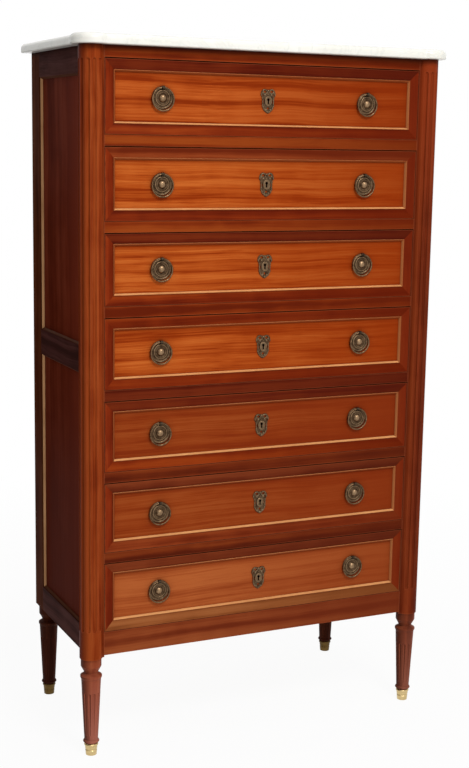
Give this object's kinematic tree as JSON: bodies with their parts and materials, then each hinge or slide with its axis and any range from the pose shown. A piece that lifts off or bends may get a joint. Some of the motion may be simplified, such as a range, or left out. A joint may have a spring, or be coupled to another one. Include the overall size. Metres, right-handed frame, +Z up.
{
  "type": "semainier",
  "caption": "Tall narrow chest with a column of equal drawers, marble top, fluted corner columns, brass fillets, ring pulls, keyhole plates and turned tapering legs.",
  "frame": {"origin": "on the floor, under the middle of the marble top", "axes": "+Z up, -Y towards the front (the drawers open along -Y), +X to the right seen from the front"},
  "size_m": [0.841, 0.416, 1.47],
  "materials": {
    "mahogany": "polished",
    "carcase_wood": "plain",
    "marble": "polished",
    "brass": "polished",
    "bronze": "aged",
    "steel": "plain"
  },
  "bodies": {
    "carcase": {"marble_top": "marble", "carcase_boards": "carcase_wood", "front_left_post": "mahogany", "front_right_post": "mahogany", "rear_left_post": "mahogany", "rear_right_post": "mahogany", "legs": "mahogany", "sabots": "brass", "frieze_rail": "mahogany", "apron_rail": "mahogany", "drawer_dividers": "mahogany", "left_side_rails": "mahogany", "right_side_rails": "mahogany", "left_side_panels": "mahogany", "right_side_panels": "mahogany", "side_fillets": "brass", "back_panel": "carcase_wood", "drawer_runners": "carcase_wood"},
    "drawer_1": {"drawer_1_front": "mahogany", "drawer_1_box": "carcase_wood", "drawer_1_brassware": "brass"},
    "drawer_1_lock_bolt": {"drawer_1_lock_bolt": "steel"},
    "drawer_1_ring_left": {"drawer_1_ring_left": "bronze"},
    "drawer_1_ring_right": {"drawer_1_ring_right": "bronze"},
    "drawer_2": {"drawer_2_front": "mahogany", "drawer_2_box": "carcase_wood", "drawer_2_brassware": "brass"},
    "drawer_2_lock_bolt": {"drawer_2_lock_bolt": "steel"},
    "drawer_2_ring_left": {"drawer_2_ring_left": "bronze"},
    "drawer_2_ring_right": {"drawer_2_ring_right": "bronze"},
    "drawer_3": {"drawer_3_front": "mahogany", "drawer_3_box": "carcase_wood", "drawer_3_brassware": "brass"},
    "drawer_3_lock_bolt": {"drawer_3_lock_bolt": "steel"},
    "drawer_3_ring_left": {"drawer_3_ring_left": "bronze"},
    "drawer_3_ring_right": {"drawer_3_ring_right": "bronze"},
    "drawer_4": {"drawer_4_front": "mahogany", "drawer_4_box": "carcase_wood", "drawer_4_brassware": "brass"},
    "drawer_4_lock_bolt": {"drawer_4_lock_bolt": "steel"},
    "drawer_4_ring_left": {"drawer_4_ring_left": "bronze"},
    "drawer_4_ring_right": {"drawer_4_ring_right": "bronze"},
    "drawer_5": {"drawer_5_front": "mahogany", "drawer_5_box": "carcase_wood", "drawer_5_brassware": "brass"},
    "drawer_5_lock_bolt": {"drawer_5_lock_bolt": "steel"},
    "drawer_5_ring_left": {"drawer_5_ring_left": "bronze"},
    "drawer_5_ring_right": {"drawer_5_ring_right": "bronze"},
    "drawer_6": {"drawer_6_front": "mahogany", "drawer_6_box": "carcase_wood", "drawer_6_brassware": "brass"},
    "drawer_6_lock_bolt": {"drawer_6_lock_bolt": "steel"},
    "drawer_6_ring_left": {"drawer_6_ring_left": "bronze"},
    "drawer_6_ring_right": {"drawer_6_ring_right": "bronze"},
    "drawer_7": {"drawer_7_front": "mahogany", "drawer_7_box": "carcase_wood", "drawer_7_brassware": "brass"},
    "drawer_7_lock_bolt": {"drawer_7_lock_bolt": "steel"},
    "drawer_7_ring_left": {"drawer_7_ring_left": "bronze"},
    "drawer_7_ring_right": {"drawer_7_ring_right": "bronze"}
  },
  "joints": [
    {"name": "drawer_1_slide", "type": "slide", "parent": "carcase", "child": "drawer_1", "axis": [0, -1, 0], "range_m": [0, 0.25]},
    {"name": "drawer_1_lock_bolt_throw", "type": "slide", "parent": "drawer_1", "child": "drawer_1_lock_bolt", "axis": [0, 0, 1], "range_m": [0, 0.008]},
    {"name": "drawer_1_ring_left_swing", "type": "hinge", "parent": "drawer_1", "child": "drawer_1_ring_left", "pos_m": [-0.232, -0.1757, 1.3725], "axis": [-1, 0, 0], "range_deg": [0, 165]},
    {"name": "drawer_1_ring_right_swing", "type": "hinge", "parent": "drawer_1", "child": "drawer_1_ring_right", "pos_m": [0.232, -0.1757, 1.3725], "axis": [-1, 0, 0], "range_deg": [0, 165]},
    {"name": "drawer_2_slide", "type": "slide", "parent": "carcase", "child": "drawer_2", "axis": [0, -1, 0], "range_m": [0, 0.25]},
    {"name": "drawer_2_lock_bolt_throw", "type": "slide", "parent": "drawer_2", "child": "drawer_2_lock_bolt", "axis": [0, 0, 1], "range_m": [0, 0.008]},
    {"name": "drawer_2_ring_left_swing", "type": "hinge", "parent": "drawer_2", "child": "drawer_2_ring_left", "pos_m": [-0.232, -0.1757, 1.2037], "axis": [-1, 0, 0], "range_deg": [0, 165]},
    {"name": "drawer_2_ring_right_swing", "type": "hinge", "parent": "drawer_2", "child": "drawer_2_ring_right", "pos_m": [0.232, -0.1757, 1.2037], "axis": [-1, 0, 0], "range_deg": [0, 165]},
    {"name": "drawer_3_slide", "type": "slide", "parent": "carcase", "child": "drawer_3", "axis": [0, -1, 0], "range_m": [0, 0.25]},
    {"name": "drawer_3_lock_bolt_throw", "type": "slide", "parent": "drawer_3", "child": "drawer_3_lock_bolt", "axis": [0, 0, 1], "range_m": [0, 0.008]},
    {"name": "drawer_3_ring_left_swing", "type": "hinge", "parent": "drawer_3", "child": "drawer_3_ring_left", "pos_m": [-0.232, -0.1757, 1.0349], "axis": [-1, 0, 0], "range_deg": [0, 165]},
    {"name": "drawer_3_ring_right_swing", "type": "hinge", "parent": "drawer_3", "child": "drawer_3_ring_right", "pos_m": [0.232, -0.1757, 1.0349], "axis": [-1, 0, 0], "range_deg": [0, 165]},
    {"name": "drawer_4_slide", "type": "slide", "parent": "carcase", "child": "drawer_4", "axis": [0, -1, 0], "range_m": [0, 0.25]},
    {"name": "drawer_4_lock_bolt_throw", "type": "slide", "parent": "drawer_4", "child": "drawer_4_lock_bolt", "axis": [0, 0, 1], "range_m": [0, 0.008]},
    {"name": "drawer_4_ring_left_swing", "type": "hinge", "parent": "drawer_4", "child": "drawer_4_ring_left", "pos_m": [-0.232, -0.1757, 0.8661], "axis": [-1, 0, 0], "range_deg": [0, 165]},
    {"name": "drawer_4_ring_right_swing", "type": "hinge", "parent": "drawer_4", "child": "drawer_4_ring_right", "pos_m": [0.232, -0.1757, 0.8661], "axis": [-1, 0, 0], "range_deg": [0, 165]},
    {"name": "drawer_5_slide", "type": "slide", "parent": "carcase", "child": "drawer_5", "axis": [0, -1, 0], "range_m": [0, 0.25]},
    {"name": "drawer_5_lock_bolt_throw", "type": "slide", "parent": "drawer_5", "child": "drawer_5_lock_bolt", "axis": [0, 0, 1], "range_m": [0, 0.008]},
    {"name": "drawer_5_ring_left_swing", "type": "hinge", "parent": "drawer_5", "child": "drawer_5_ring_left", "pos_m": [-0.232, -0.1757, 0.6973], "axis": [-1, 0, 0], "range_deg": [0, 165]},
    {"name": "drawer_5_ring_right_swing", "type": "hinge", "parent": "drawer_5", "child": "drawer_5_ring_right", "pos_m": [0.232, -0.1757, 0.6973], "axis": [-1, 0, 0], "range_deg": [0, 165]},
    {"name": "drawer_6_slide", "type": "slide", "parent": "carcase", "child": "drawer_6", "axis": [0, -1, 0], "range_m": [0, 0.25]},
    {"name": "drawer_6_lock_bolt_throw", "type": "slide", "parent": "drawer_6", "child": "drawer_6_lock_bolt", "axis": [0, 0, 1], "range_m": [0, 0.008]},
    {"name": "drawer_6_ring_left_swing", "type": "hinge", "parent": "drawer_6", "child": "drawer_6_ring_left", "pos_m": [-0.232, -0.1757, 0.5285], "axis": [-1, 0, 0], "range_deg": [0, 165]},
    {"name": "drawer_6_ring_right_swing", "type": "hinge", "parent": "drawer_6", "child": "drawer_6_ring_right", "pos_m": [0.232, -0.1757, 0.5285], "axis": [-1, 0, 0], "range_deg": [0, 165]},
    {"name": "drawer_7_slide", "type": "slide", "parent": "carcase", "child": "drawer_7", "axis": [0, -1, 0], "range_m": [0, 0.25]},
    {"name": "drawer_7_lock_bolt_throw", "type": "slide", "parent": "drawer_7", "child": "drawer_7_lock_bolt", "axis": [0, 0, 1], "range_m": [0, 0.008]},
    {"name": "drawer_7_ring_left_swing", "type": "hinge", "parent": "drawer_7", "child": "drawer_7_ring_left", "pos_m": [-0.232, -0.1757, 0.3597], "axis": [-1, 0, 0], "range_deg": [0, 165]},
    {"name": "drawer_7_ring_right_swing", "type": "hinge", "parent": "drawer_7", "child": "drawer_7_ring_right", "pos_m": [0.232, -0.1757, 0.3597], "axis": [-1, 0, 0], "range_deg": [0, 165]}
  ]
}
